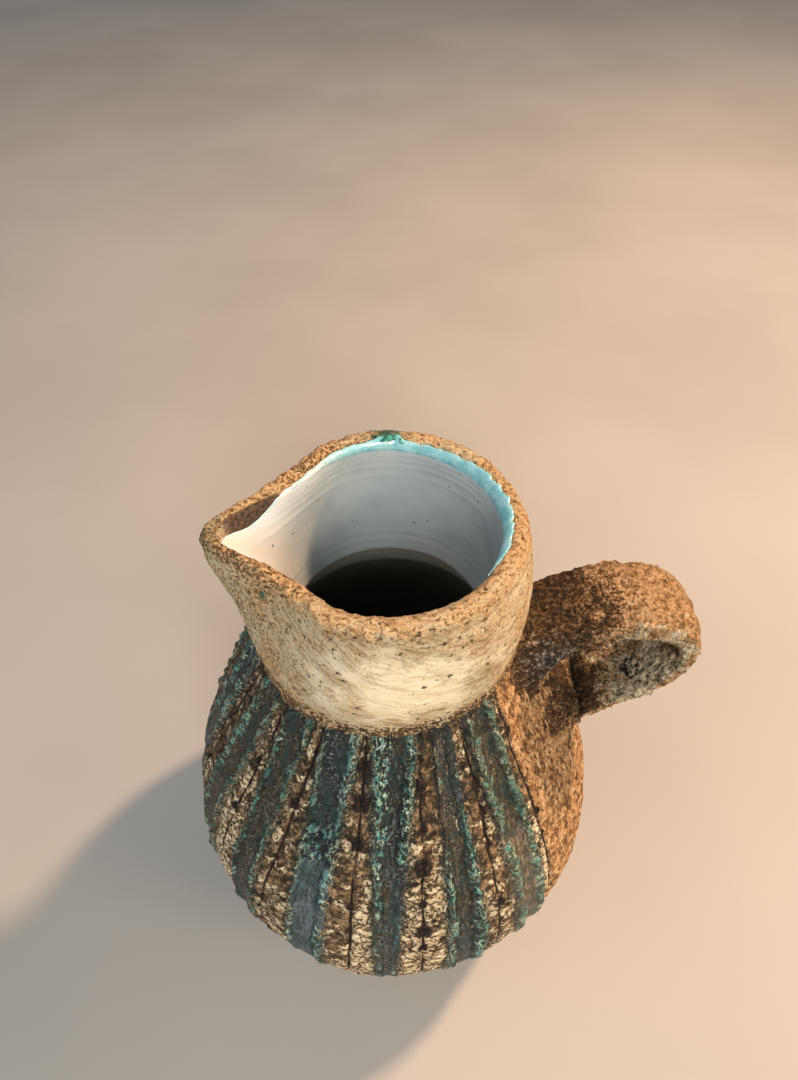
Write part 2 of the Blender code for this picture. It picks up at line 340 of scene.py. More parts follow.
class Finish:
    """A Principled material whose node graph is built by short calls. Sizes are in millimetres."""

    def __init__(self, name):
        self.material = bpy.data.materials.new(name)
        self.material.use_nodes = True
        self.tree = self.material.node_tree
        self.shader = self.tree.nodes["Principled BSDF"]
        self.place = self.scaled(self.add("ShaderNodeTexCoord").outputs["Object"], 1 / MM)

    def add(self, kind, inputs=None, **settings):
        node = self.tree.nodes.new(kind)
        for name, value in settings.items():
            setattr(node, name, value)
        for name, value in (inputs or {}).items():
            self.feed(node.inputs[name], value)
        return node

    def feed(self, socket, value):
        if isinstance(value, Value):
            self.tree.links.new(value.socket, socket)
        elif isinstance(value, bpy.types.NodeSocket):
            self.tree.links.new(value, socket)
        elif isinstance(value, tuple) and len(value) == 3 and socket.type == "RGBA":
            socket.default_value = (*value, 1)
        else:
            socket.default_value = value

    def vector_math(self, operation, a, b):
        return self.add("ShaderNodeVectorMath", {0: a, 1: b}, operation=operation).outputs[0]

    def scaled(self, vector, factor):
        return self.vector_math("MULTIPLY", vector, (factor,) * 3)

    def in_sizes(self, place, size):
        """A place measured in features of a size, or of three sizes, one for each axis."""
        sizes = size if isinstance(size, tuple) else (size,) * 3
        return self.vector_math("MULTIPLY", place or self.place, tuple(1 / each for each in sizes))

    def value(self, name):
        return Value(self, self.add("ShaderNodeAttribute", attribute_name=name).outputs["Fac"])

    def vector(self, name):
        return self.add("ShaderNodeAttribute", attribute_name=name).outputs["Vector"]

    def noise(self, size, detail=3, roughness=0.6, place=None, shift=0.0):
        """Noise from 0 to 1 with features of a size, or of three sizes. A shift gives another pattern."""
        place = self.in_sizes(place, size)
        if shift:
            place = self.vector_math("ADD", place, (shift, -shift, 2 * shift))
        inputs = {"Vector": place, "Scale": 1.0, "Detail": float(detail), "Roughness": roughness}
        return Value(self, self.add("ShaderNodeTexNoise", inputs).outputs["Fac"])

    def warped(self, size, amount, place=None):
        """A place shifted about by noise, so that patterns on it look broken and natural."""
        inputs = {"Vector": self.in_sizes(place, size), "Scale": 1.0, "Detail": 2.0}
        swirl = self.add("ShaderNodeTexNoise", inputs).outputs["Color"]
        centred = self.vector_math("SUBTRACT", swirl, (0.5, 0.5, 0.5))
        return self.vector_math("ADD", place or self.place, self.scaled(centred, 2.0 * amount))

    def cells(self, size, place=None):
        """Distance, 0 to about 1, to the nearest of scattered spots, and a number for each spot's cell."""
        inputs = {"Vector": self.in_sizes(place, size), "Scale": 1.0}
        node = self.add("ShaderNodeTexVoronoi", inputs, feature="F1")
        number = self.add("ShaderNodeSeparateColor", {"Color": node.outputs["Color"]}).outputs["Red"]
        return Value(self, node.outputs["Distance"]), Value(self, number)

    def borders(self, size, place=None):
        """Distance from 0 to about 1 to the border between the cells."""
        inputs = {"Vector": self.in_sizes(place, size), "Scale": 1.0}
        node = self.add("ShaderNodeTexVoronoi", inputs, feature="DISTANCE_TO_EDGE")
        return Value(self, node.outputs["Distance"])

    def between(self, value, low, high, start=0.0, end=1.0):
        """Maps low..high onto start..end with soft ends. Low may be above high."""
        inputs = {"Value": value, "From Min": low, "From Max": high, "To Min": start, "To Max": end}
        return Value(self, self.add("ShaderNodeMapRange", inputs, interpolation_type="SMOOTHSTEP").outputs[0])

    def swing(self, value, half, amount):
        """Maps the stretch within a half range of 0.5 onto -amount..amount."""
        return self.between(value, 0.5 - half, 0.5 + half, -amount, amount)

    def math(self, operation, a, b=0.0):
        return Value(self, self.add("ShaderNodeMath", {0: a, 1: b}, operation=operation).outputs[0])

    def mix(self, amount, a, b):
        node = self.add("ShaderNodeMix", data_type="RGBA")
        self.feed(node.inputs["Factor"], amount)
        colours = [socket for socket in node.inputs if socket.type == "RGBA"]
        self.feed(colours[0], a)
        self.feed(colours[1], b)
        return next(socket for socket in node.outputs if socket.type == "RGBA")

    def blend(self, value, low, high, a, b):
        """Colour a where the value is at low, b where it is at high, and a blend of them between."""
        return self.mix(self.between(value, low, high), a, b)

    def ramp(self, value, stops):
        """Colours at places from 0 to 1."""
        node = self.add("ShaderNodeValToRGB", {"Fac": value})
        ramp = node.color_ramp
        while len(ramp.elements) < len(stops):
            ramp.elements.new(0.5)
        for element, (place, colour) in zip(ramp.elements, stops):
            element.position = place
            element.color = (*colour, 1)
        return node.outputs["Color"]

    def finish(self, colour, roughness, height=None, relief=1.0, specular=0.5):
        """Connects the shader. Relief is the depth in millimetres of a height that goes from 0 to 1."""
        self.feed(self.shader.inputs["Base Color"], colour)
        self.feed(self.shader.inputs["Roughness"], roughness)
        self.shader.inputs["Specular IOR Level"].default_value = specular
        if height is not None:
            bump = self.add("ShaderNodeBump", {"Height": height, "Distance": relief * MM, "Strength": 1.0})
            self.tree.links.new(bump.outputs["Normal"], self.shader.inputs["Normal"])
        return self.material


BLACK_BROWN = (0.016, 0.011, 0.008)
DARK_BROWN = (0.052, 0.034, 0.020)
BROWN = (0.125, 0.082, 0.047)
TAN = (0.43, 0.30, 0.175)
CREAM = (0.66, 0.50, 0.31)
PALE_CREAM = (0.80, 0.70, 0.50)
SLATE_BLACK = (0.009, 0.011, 0.012)
SLATE = (0.018, 0.024, 0.029)
SLATE_PALE = (0.085, 0.120, 0.145)
OLIVE_BLACK = (0.018, 0.014, 0.009)
OLIVE = (0.036, 0.028, 0.017)
OLIVE_PALE = (0.18, 0.14, 0.095)
TEAL_BLACK = (0.004, 0.014, 0.013)
TEAL_DARK = (0.008, 0.042, 0.036)
TEAL = (0.022, 0.115, 0.095)
TEAL_BRIGHT = (0.065, 0.29, 0.245)
PALE_TEAL = (0.47, 0.60, 0.49)
BLUE_BLACK = (0.005, 0.011, 0.015)
BLUE_DARK = (0.012, 0.034, 0.044)
BLUE = (0.035, 0.095, 0.12)
BLUE_BRIGHT = (0.11, 0.26, 0.30)


def belly_clay():
    f = Finish("rough brown stoneware")
    flow = f.vector("flow")
    mottle = f.noise(2.6, detail=5, roughness=0.74)
    fine = f.noise(0.9, detail=3, roughness=0.68, shift=3.1)
    broken = f.warped(2.6, 2.2, flow)
    _, number = f.cells((4.4, 4.4, 3.6), broken)
    border = f.borders((4.4, 4.4, 3.6), broken)
    colour = f.ramp(mottle, [
        (0.38, BLACK_BROWN), (0.43, DARK_BROWN), (0.50, BROWN), (0.57, (0.29, 0.185, 0.10)), (0.67, TAN),
    ])
    # Cream slip left in patches with dark cracks between them
    patch = f.value("cream") + f.swing(number, 0.5, 0.45) + f.swing(mottle, 0.12, 0.30)
    slip = f.blend(fine, 0.36, 0.60, TAN, f.blend(mottle, 0.42, 0.60, CREAM, PALE_CREAM))
    slip = f.blend(border + f.swing(fine, 0.2, 0.06), 0.15, 0.0, slip, DARK_BROWN)
    slip = f.blend(mottle, 0.46, 0.38, slip, BROWN)
    colour = f.blend(patch, 0.40, 0.62, colour, slip)
    # The plain panel round the handle: orange clay with upright pits. Its orange is made brighter than the
    # clay to make up for the handle's shadow on it: partly painted light.
    upright = f.noise((1.5, 1.5, 3.4), detail=5, roughness=0.72, place=f.warped(5.0, 1.6, flow), shift=1.7)
    warm = f.ramp(mottle, [
        (0.37, (0.15, 0.080, 0.036)), (0.44, (0.37, 0.195, 0.085)), (0.52, (0.55, 0.32, 0.15)),
        (0.62, (0.76, 0.52, 0.30)),
    ])
    warm = f.blend(upright, 0.50, 0.41, warm, (0.105, 0.054, 0.025))
    colour = f.mix(f.value("plain"), colour, warm)
    # Dark specks, stain next to the glaze, painted shade in the crease under the collar and on the left side
    # mixed with darker clay, incised lines and knots
    speck = f.mix(f.value("plain"), BLACK_BROWN, (0.11, 0.058, 0.028))
    colour = f.blend(fine, 0.42, 0.34, colour, speck)
    stain = f.value("stain") * f.between(mottle, 0.45, 0.60, 0.9, 0.0)
    colour = f.mix(stain, colour, (0.028, 0.036, 0.030))
    # Painted shade under the collar and on the left side, mixed with darker clay
    dim = f.value("dim") * f.between(mottle, 0.40, 0.62, 0.85, 0.15)
    colour = f.mix(dim, colour, (0.026, 0.020, 0.014))
    dark = f.math("MAXIMUM", f.value("groove"), f.value("knot"))
    dark = dark + f.swing(fine, 0.2, 0.22)
    pitch = f.blend(fine, 0.5, 0.65, (0.010, 0.008, 0.008), (0.060, 0.034, 0.030))
    colour = f.blend(dark, 0.3, 0.6, colour, pitch)
    height = fine * 0.6 + mottle + f.between(border, 0.0, 0.22, 0.0, 0.45)
    height = height + upright * f.value("plain") * 1.6
    return f.finish(colour, f.between(mottle, 0.3, 0.7, 0.95, 0.75), height, 1.9, 0.2)


def stripe_glaze():
    f = Finish("crusty teal and slate glaze")
    flow = f.vector("flow")
    across, ridge, bright = f.value("across"), f.value("ridge"), f.value("bright")
    coarse = f.noise((2.0, 2.0, 2.8), detail=5, roughness=0.74, place=flow)
    fine = f.noise(0.75, detail=3, roughness=0.7, shift=5.3)
    tone = f.noise((9.0, 9.0, 26.0), detail=3, place=flow, shift=2.3)
    flakes, number = f.cells((1.5, 1.5, 1.9), f.warped(1.2, 0.7, flow))
    # The channel down the middle: slate or olive, streaked along its length
    streak = f.noise((0.9, 0.9, 4.2), detail=5, roughness=0.72, place=flow, shift=8.1)
    streak = streak + f.between(bright, 0.0, 1.0, -0.03, 0.12)
    olive = f.ramp(streak, [(0.40, OLIVE_BLACK), (0.52, OLIVE), (0.68, OLIVE_PALE)])
    slate = f.ramp(streak, [(0.40, SLATE_BLACK), (0.52, SLATE), (0.68, SLATE_PALE)])
    blueness = f.value("blue") + f.swing(tone, 0.15, 0.25)
    channel = f.blend(blueness, 0.30, 0.70, olive, slate)
    patchy = f.noise((4.5, 4.5, 9.0), detail=3, roughness=0.6, place=flow, shift=12.4)
    channel = f.mix(f.between(patchy, 0.52, 0.38, 0.0, 0.7), channel, (0.012, 0.040, 0.038))
    # Painted shade: the channel goes near-black where the crust lies low
    black = f.between(coarse, 0.47, 0.38) * f.between(bright, 0.2, 0.8, 0.9, 0.15)
    channel = f.mix(black, channel, SLATE_BLACK)
    flecks = f.between(fine, 0.56, 0.64) * f.between(bright, 0.0, 1.0, 0.85, 0.2)
    flecks = flecks * f.between(patchy, 0.40, 0.58, 0.15, 1.0)
    fleck = f.mix(f.value("blue"), (0.30, 0.27, 0.19), (0.27, 0.33, 0.31))
    channel = f.mix(flecks, channel, fleck)
    # The ridges: teal crust with pale rims round dark holes. The teal is dark where the crust lies low and
    # bright where it stands high, painted shade and painted highlight over the glaze's own mottling, and the
    # pale rims and flake tops are partly painted highlights.
    crust = coarse + f.swing(number, 0.5, 0.09)
    teal = f.ramp(crust, [(0.39, TEAL_BLACK), (0.46, TEAL_DARK), (0.52, TEAL), (0.60, TEAL_BRIGHT)])
    blues = f.ramp(crust, [(0.39, BLUE_BLACK), (0.46, BLUE_DARK), (0.52, BLUE), (0.60, BLUE_BRIGHT)])
    teal = f.mix(f.between(blueness, 0.55, 1.0, 0.0, 0.7), teal, blues)
    worm = f.noise((1.9, 1.9, 2.4), detail=2, roughness=0.5, place=f.warped(2.0, 1.1, flow), shift=4.9)
    rims = f.between(abs(worm - 0.5), 0.058, 0.022) * f.between(coarse, 0.38, 0.47)
    teal = f.blend(worm, 0.47, 0.39, teal, TEAL_BLACK)
    tops = f.between(flakes, 0.40, 0.12) * f.between(number, 0.45, 0.60)
    pale = f.math("MAXIMUM", rims, tops) * f.value("pale") * f.between(patchy, 0.42, 0.56, 0.30, 1.0)
    teal = f.mix(pale, teal, f.mix(f.value("green"), PALE_TEAL, (0.36, 0.37, 0.25)))
    teal = f.mix(f.value("green") * 0.45, teal, (0.11, 0.12, 0.075))
    teal = f.blend(fine, 0.43, 0.34, teal, TEAL_BLACK)
    amount = ridge + f.swing(coarse, 0.15, 0.28)
    colour = f.blend(amount, 0.30, 0.48, channel, teal)
    # Broken edges, where the clay shows through, and dark lines
    edge = abs(across) + f.swing(coarse, 0.15, 0.28)
    clay = f.blend(fine, 0.46, 0.60, (0.022, 0.019, 0.014), (0.36, 0.28, 0.17))
    colour = f.blend(edge, 0.93, 1.03, colour, clay)
    colour = f.mix(f.value("line"), colour, (0.006, 0.007, 0.008))
    height = fine * 0.6 + coarse * 0.7 + f.between(flakes, 0.75, 0.0) * ridge * 0.7 + rims * 0.45
    height = height * f.between(bright, 0.0, 1.0, 1.0, 0.5)
    return f.finish(colour, f.between(fine, 0.35, 0.65, 0.62, 0.34), height, 1.9, 0.4)


def collar_clay():
    f = Finish("brushed cream slip")
    flow = f.vector("flow")
    streak = f.noise((9.0, 9.0, 1.3), detail=5, roughness=0.76, place=f.warped(7.0, 2.2, flow))
    broad = f.noise(11.0, detail=4, roughness=0.6, shift=1.9)
    fine = f.noise(0.8, detail=4, roughness=0.72, shift=4.4)
    crumbs = f.noise((1.15, 1.15, 0.85), detail=5, roughness=0.78, shift=6.6)
    strength = f.value("rough") + f.swing(broad, 0.1, 0.30)
    smooth = f.ramp(streak, [
        (0.38, (0.60, 0.48, 0.31)), (0.48, (0.76, 0.65, 0.46)), (0.62, (0.86, 0.77, 0.59)),
    ])
    scratched = f.ramp(streak, [
        (0.38, (0.34, 0.22, 0.11)), (0.45, (0.62, 0.46, 0.27)), (0.54, (0.78, 0.64, 0.42)),
        (0.66, PALE_CREAM),
    ])
    colour = f.blend(strength, 0.2, 0.9, smooth, scratched)
    colour = f.mix(f.between(broad, 0.60, 0.42, 0.0, 0.22), colour, (0.60, 0.54, 0.39))
    ochre = f.value("ochre") + f.swing(broad, 0.12, 0.30) + f.swing(crumbs, 0.15, -0.25)
    tan = f.blend(crumbs, 0.40, 0.60, (0.46, 0.27, 0.115), (0.80, 0.54, 0.29))
    colour = f.blend(ochre, 0.20, 1.05, colour, tan)
    # Brown crust on the lip and at the foot of the collar
    crust = f.value("crust") + f.swing(crumbs, 0.12, -0.42) + f.swing(fine, 0.12, -0.30)
    brown = f.blend(fine, 0.45, 0.6, (0.045, 0.026, 0.013), (0.15, 0.088, 0.042))
    colour = f.blend(crust, 0.62, 1.0, colour, brown)
    # Specks and pits, streaked with the brush
    specks = crumbs - strength * 0.045
    colour = f.blend(specks, 0.395, 0.335, colour, (0.20, 0.115, 0.052))
    dots = fine - strength * 0.035
    colour = f.blend(dots, 0.37, 0.315, colour, (0.13, 0.078, 0.038))
    pit = f.value("pit") + f.swing(fine, 0.1, 0.4)
    colour = f.blend(pit, 0.45, 0.8, colour, (0.09, 0.055, 0.03))
    green = f.value("green") + f.swing(crumbs, 0.12, 0.50)
    leaf = f.blend(fine, 0.42, 0.60, (0.016, 0.060, 0.042), (0.060, 0.22, 0.165))
    colour = f.blend(green, 0.45, 0.75, colour, leaf)
    bare = f.value("bare") + f.swing(crumbs, 0.2, 0.2)
    raw = f.blend(crumbs, 0.4, 0.6, (0.060, 0.038, 0.028), (0.20, 0.13, 0.09))
    colour = f.blend(bare, 0.4, 0.6, colour, raw)
    height = (streak * 0.5 + crumbs) * f.between(strength, 0.0, 1.0, 0.45, 1.5) + fine * 0.45
    return f.finish(colour, f.between(crumbs, 0.3, 0.7, 0.95, 0.75), height, 1.7, 0.25)


def white_glaze():
    f = Finish("white glaze")
    cloud = f.noise(12.0, detail=3, roughness=0.5)
    specks, _ = f.cells(5.2)
    # Painted shade: the white glaze is given a dark blue-grey, as it looks in the shade inside the mouth
    colour = f.blend(cloud, 0.35, 0.65, (0.245, 0.29, 0.32), (0.285, 0.33, 0.35))
    # Painted light: the warm patch on the spout side, where the key light falls, is a lighter grey
    colour = f.mix(f.value("warm"), colour, (0.585, 0.59, 0.60))
    colour = f.blend(specks, 0.10, 0.05, colour, (0.10, 0.09, 0.08))
    colour = f.mix(f.value("tint"), colour, (0.22, 0.50, 0.54))
    fine = f.noise(2.2, detail=2, shift=2.0)
    return f.finish(colour, f.between(fine, 0.3, 0.7, 0.10, 0.2), fine, 0.12, 0.6)


def dark_glaze():
    f = Finish("near-black inside glaze")
    cloud = f.noise((9.0, 9.0, 2.5), detail=3)
    colour = f.blend(cloud, 0.35, 0.65, (0.100, 0.110, 0.092), (0.150, 0.156, 0.130))
    # Grey: the white glaze under the throat, darkened as painted shade
    grey = f.blend(cloud, 0.35, 0.65, (0.50, 0.56, 0.58), (0.60, 0.65, 0.66))
    colour = f.mix(f.value("white"), colour, grey)
    return f.finish(colour, f.between(cloud, 0.3, 0.7, 0.45, 0.6), cloud, 0.3, 0.2)


def turquoise_glaze():
    f = Finish("turquoise glaze roll")
    pool = f.noise(3.0, detail=3, roughness=0.6)
    fine = f.noise(0.8, detail=2, shift=3.3)
    colour = f.blend(pool, 0.35, 0.65, (0.13, 0.35, 0.41), (0.24, 0.46, 0.51))
    dark = f.value("dark") + f.swing(pool, 0.2, 0.3)
    deep = f.blend(fine, 0.42, 0.60, (0.010, 0.065, 0.050), (0.050, 0.26, 0.21))
    colour = f.blend(dark, 0.4, 0.7, colour, deep)
    colour = f.mix(f.value("pale"), colour, (0.42, 0.55, 0.54))
    colour = f.mix(f.value("fade"), colour, (0.49, 0.57, 0.60))
    colour = f.blend(fine, 0.34, 0.28, colour, (0.08, 0.06, 0.04))
    return f.finish(colour, f.between(pool, 0.3, 0.7, 0.08, 0.22), pool, 0.25, 0.6)


def handle_clay():
    f = Finish("pitted orange handle clay")
    broad = f.noise(8.0, detail=4, roughness=0.62, shift=2.7)
    crumbs = f.noise(1.9, detail=6, roughness=0.76)
    fine = f.noise(0.8, detail=4, roughness=0.7, shift=7.7)
    mixed = crumbs * 0.65 + fine * 0.35
    colour = f.ramp(mixed, [
        (0.38, (0.065, 0.037, 0.018)), (0.43, (0.20, 0.115, 0.052)), (0.50, (0.40, 0.235, 0.110)),
        (0.61, (0.70, 0.48, 0.29)),
    ])
    # Dark brown beside the collar, partly the clay's own colour and partly painted shade, and painted shade
    # on the tail and under the strap near the wall
    shade = f.value("dark") + f.swing(broad, 0.12, 0.28) + f.swing(fine, 0.12, -0.25)
    brown = f.ramp(mixed, [
        (0.41, BLACK_BROWN), (0.47, (0.036, 0.020, 0.009)), (0.54, (0.100, 0.052, 0.021)),
        (0.63, (0.30, 0.18, 0.085)),
    ])
    colour = f.blend(shade, 0.25, 0.85, colour, brown)
    # Ashen specks at the root's front, pale slip under the strap and a dark hole in it
    grey = f.value("grey") + f.swing(crumbs, 0.12, 0.42)
    ashen = f.ramp(mixed, [
        (0.43, (0.010, 0.008, 0.010)), (0.52, (0.040, 0.034, 0.040)), (0.60, (0.42, 0.34, 0.25)),
    ])
    colour = f.blend(grey, 0.30, 0.70, colour, ashen)
    pale = f.value("pale") + f.swing(broad, 0.12, -0.35)
    cream = f.ramp(mixed, [
        (0.40, (0.060, 0.046, 0.026)), (0.48, (0.30, 0.24, 0.145)), (0.58, (0.78, 0.68, 0.50)),
    ])
    colour = f.blend(pale, 0.30, 0.75, colour, cream)
    hole = f.value("hole") + f.swing(crumbs, 0.12, -0.30)
    colour = f.blend(hole, 0.45, 0.75, colour, BLACK_BROWN)
    height = crumbs + fine * 0.6
    return f.finish(colour, f.between(crumbs, 0.3, 0.7, 0.97, 0.8), height, 2.4, 0.2)


# ---- The belly ----
BELLY = curve_through(BELLY_OUTSIDE, 40)
BELLY_LENGTHS = lengths_along(BELLY)
BELLY_LENGTH = BELLY_LENGTHS[-1]

# Lines and stripes lean in their own ways, so each has azimuths for the foot, the middle and the shoulder
LEVELS = (0, 86, 136)

# Azimuths of the incised lines, from the one beside the plain panel round the front. They go on evenly to the
# panel's far edge.
FRONT_LINES = [
    (-43.5, -43.3, -41), (-62, -61.7, -60.3), (-83, -82.6, -79), (-102, -102, -98.7), (-128, -127, -118),
    (-148, -145.5, -138),
]
PLAIN_FAR_EDGE = -320
BACK_PANELS = 8
LINE_COUNT = len(FRONT_LINES) + BACK_PANELS

# Dark knots of grit on the incised lines, by line: height and size
KNOTS = {
    0: ((131, 1.5), (101, 1.7), (92, 1.2)),
    1: ((124, 2.0), (115, 1.4), (104, 1.5), (81, 2.1)),
    2: ((130, 2.0), (116, 1.8), (104, 3.1), (91, 1.5), (80, 2.9), (71, 1.8)),
    3: ((136, 2.7), (125, 3.0), (112, 2.4), (90, 1.4)),
    4: ((118, 1.8), (96, 1.2)),
    5: ((121, 1.8), (99, 1.9)),
}

# Bright patches of slip: azimuth, height, half width and half height
PATCHES = [
    (-57.2, 109, 1.7, 3.6), (-62.8, 138, 1.6, 3.0), (-86.5, 110, 2.2, 3.4), (-109, 105, 2.4, 2.4),
    (-119.6, 126, 1.4, 3.2), (-98.5, 84, 3.6, 6.5), (-98, 70, 3.8, 8), (-78, 92, 2.2, 6),
    (-97.5, 128, 1.3, 2),
]


class Stripe:
    """One stripe's course and make-up.

    Middles and halves are azimuths at the three levels. A ridge or a dark line is its place across the stripe
    (-1 to 1), its width there, and its strength low down and high up. Bright is also low down and high up.
    """

    def __init__(self, middles, halves, left, right, blue, bright, pale, green, lines):
        self.middles, self.halves = middles, halves
        self.left, self.right, self.lines = left, right, lines
        self.blue, self.bright, self.pale, self.green = blue, bright, pale, green


FRONT_STRIPES = [
    Stripe(
        (-51.5, -51.6, -52.2), (5.0, 5.3, 7.2), (-0.70, 0.24, 0.9, 1.0), (0.80, 0.22, 0.8, 1.0),
        0.05, (0.75, 0.1), 1.0, 0.55, ((0.52, 0.06, 0, 0.8), (-1.0, 0.06, 0.3, 0.9)),
    ),
    Stripe(
        (-72.5, -70.8, -69.5), (6.4, 5.2, 4.4), (-0.78, 0.20, 1.1, 0.25), (0.72, 0.26, 1.0, 0.30),
        0.50, (0.35, 0.22), 0.9, 0.0,
        ((-0.50, 0.07, 0.9, 0.0), (-0.97, 0.07, 0, 1.0), (0.22, 0.08, 1.0, 1.0)),
    ),
    Stripe(
        (-92.5, -92, -88.5), (4.0, 4.3, 8.6), (-0.62, 0.28, 0.45, 1.0), (0.72, 0.20, 0.35, 1.15),
        0.62, (0.3, 0.1), 1.0, 0.0, ((0.36, 0.07, 0.3, 1.0), (-0.30, 0.06, 0.7, 0)),
    ),
    Stripe(
        (-114.5, -113.8, -109.3), (6.0, 5.4, 7.0), (-0.88, 0.14, 0.7, 1.1), (0.80, 0.22, 0.9, 1.2),
        0.95, (1.0, 0.15), 0.9, 0.0, ((0.42, 0.05, 0.9, 0.2), (-0.72, 0.05, 0.6, 0.5)),
    ),
    Stripe(
        (-137, -135, -129), (5.0, 4.7, 6.2), (-0.86, 0.17, 0.8, 0.9), (0.82, 0.24, 0.9, 1.0),
        0.22, (0.15, 0.0), 0.8, 0.1, ((0.55, 0.07, 0.6, 0.5), (-0.62, 0.06, 0.6, 0.4)),
    ),
    Stripe(
        (-158, -156, -148), (5.0, 5.0, 6.8), (-0.78, 0.24, 0.7, 0.9), (0.84, 0.24, 0.9, 1.1),
        0.06, (0.25, 0.05), 0.8, 0.35, ((0.5, 0.06, 0.6, 0.6),),
    ),
]
BACK_STRIPES = 7
LAST_STRIPE_AZIMUTH = -309
BACK_HALF_WIDTHS = (5.2, 7.4)
STRIPE_EDGE = 1.12
STRIPE_ROOT = 1.9

# The third stripe has a third ridge at its top, and the fourth has a heap of crust across it
THREE_RIDGED, HEAPED = 2, 3


def stripe_plan():
    """The front stripes, then the evenly set ones at the back, which borrow their make-up from the front."""
    plan = list(FRONT_STRIPES)
    for index in range(1, BACK_STRIPES + 1):
        share = index / BACK_STRIPES
        middles = [middle + (LAST_STRIPE_AZIMUTH - middle) * share for middle in FRONT_STRIPES[-1].middles]
        stripe = copy.copy(FRONT_STRIPES[index * 2 % 5])
        stripe.middles, stripe.halves = middles, (BACK_HALF_WIDTHS[index % 2],) * 3
        plan.append(stripe)
    return plan


def at_height(values, height):
    """The quadratic through the values given at the three levels."""
    total = 0
    for index, (value, level) in enumerate(zip(values, LEVELS)):
        weight = 1
        for other in LEVELS[:index] + LEVELS[index + 1 :]:
            weight = weight * (height - other) / (level - other)
        total = total + value * weight
    return total


def line_azimuth(index, length):
    """Azimuth of an incised line at a length along the wall: hand-drawn, so it wanders."""
    values = FRONT_LINES[min(index, len(FRONT_LINES) - 1)]
    share = max(0, index - len(FRONT_LINES) + 1) / BACK_PANELS
    values = [value + (PLAIN_FAR_EDGE - value) * share for value in values]
    height = np.interp(length, BELLY_LENGTHS, BELLY[:, 1])
    own = np.full_like(length, index * 3.7)
    place = np.stack([length / 34, own, np.zeros_like(length)], axis=-1)
    fine_place = np.stack([length / 9, own, np.full_like(length, 5)], axis=-1)
    return at_height(values, height) + 0.6 * noise.at(place) + 0.4 * noise.at(fine_place)


def clay_swell(azimuth, length):
    """The slow unevenness of the thrown wall."""
    return 0.55 * noise.fractal(flow_of(azimuth, length), 38, octaves=2)


def belly_columns(lengths):
    """Azimuths of the belly's columns at each row, the number of the line nearest to each, and the lines."""
    even = np.arange(30) / 30
    share = (1 - np.cos(np.pi * even)) / 2 * 0.45 + even * 0.55
    lines = [line_azimuth(index, lengths) for index in range(LINE_COUNT)]
    columns, nearest = [], []
    for index, (first, last) in enumerate(zip(lines, lines[1:])):
        for part in share:
            columns.append(first + (last - first) * part)
            nearest.append(index if part < 0.5 else index + 1)
    wide = np.arange(110) / 110
    for part in wide + 0.35 * np.sin(2 * np.pi * wide) / (2 * np.pi):
        columns.append(lines[-1] + (lines[0] - 360 - lines[-1]) * part)
        nearest.append(len(lines) - 1 if part < 0.5 else 0)
    return np.stack(columns, axis=1), np.array(nearest), np.stack(lines, axis=1)


def knots_at(azimuth, height, lines):
    """Lumps of dark grit on the incised lines."""
    lump = np.zeros_like(azimuth)
    scatter = np.random.default_rng(5)
    for index in range(LINE_COUNT):
        for level, size in KNOTS.get(index) or zip(scatter.uniform(45, 135, 3), scatter.uniform(1.2, 2.6, 3)):
            radius = np.interp(level, BELLY[:, 1], BELLY[:, 0])
            sideways = np.radians(turn_between(azimuth, lines[:, [index]])) * radius
            away = (sideways**2 + ((height - level) * 0.8) ** 2) / size**2
            lump = np.maximum(lump, np.exp(-(away**1.5)))
    return lump


def patches_at(azimuth, height, radius):
    """Where the bright patches of slip are."""
    bright = np.zeros_like(azimuth)
    for middle, level, half_width, half_height in PATCHES:
        sideways = np.radians(turn_between(azimuth, middle)) * radius / half_width
        upwards = (height - level) / half_height
        bright = np.maximum(bright, np.exp(-((sideways**2 + upwards**2) ** 1.5)))
    return bright


def slip_cover(azimuth, height, radius, uneven):
    """How much cream slip is left on the clay, from 0 to about 1."""
    low = ease(height, 112, 72)
    crackle = bell(turn_between(azimuth, at_height((-151, -146.5, -139.5), height)), 0, 7)
    crackle = crackle * ease(height, 130, 119)
    right = sector(azimuth, -82, 8) * ease(height, 112, 98)
    left = ease(turn_between(azimuth, at_height(FRONT_LINES[3], height)), 0.5, 2)
    left = left * ease(turn_between(azimuth, -95), 2, 0) * ease(height, 101, 92)
    orange = sector(azimuth, -45, 2) * ease(height, 112, 96)
    cover = 0.16 + 0.36 * low + 0.42 * uneven + 0.55 * crackle + 0.30 * right + 0.55 * left + 0.5 * orange
    return np.clip(cover + 1.1 * patches_at(azimuth, height, radius), 0, 1.15)


def stripe_shadow(azimuth, height):
    """How far the glaze of the stripes stains the clay beside it, and how far it covers the clay."""
    stain, covered = np.zeros_like(azimuth), np.zeros_like(azimuth)
    for stripe in stripe_plan():
        side = turn_between(azimuth, at_height(stripe.middles, height)) / at_height(stripe.halves, height)
        side = np.abs(side)
        stain = np.maximum(stain, ease(side, 1.40, 1.0))
        covered = np.maximum(covered, ease(side, STRIPE_EDGE, 0.92))
    return stain, covered


def belly_darker_clay_and_painted_shade(azimuth, height, radius, flow, cream, plain):
    """How dark the clay is painted: partly darker clay, partly painted shade under the collar and on the left
    side; less where there is slip.
    """
    dim = ease(height, 104, 138) * 0.35 + 0.8 * ease(height, 140, 146)
    dim = dim + 0.35 * ease(turn_between(azimuth, -150), 25, 0)
    dim = dim + 0.35 * noise.fractal(flow + 60, 12, octaves=2) - 0.8 * patches_at(azimuth, height, radius)
    return np.clip(dim - 0.5 * cream, 0, 1) * (1 - plain * ease(height, 146, 140))


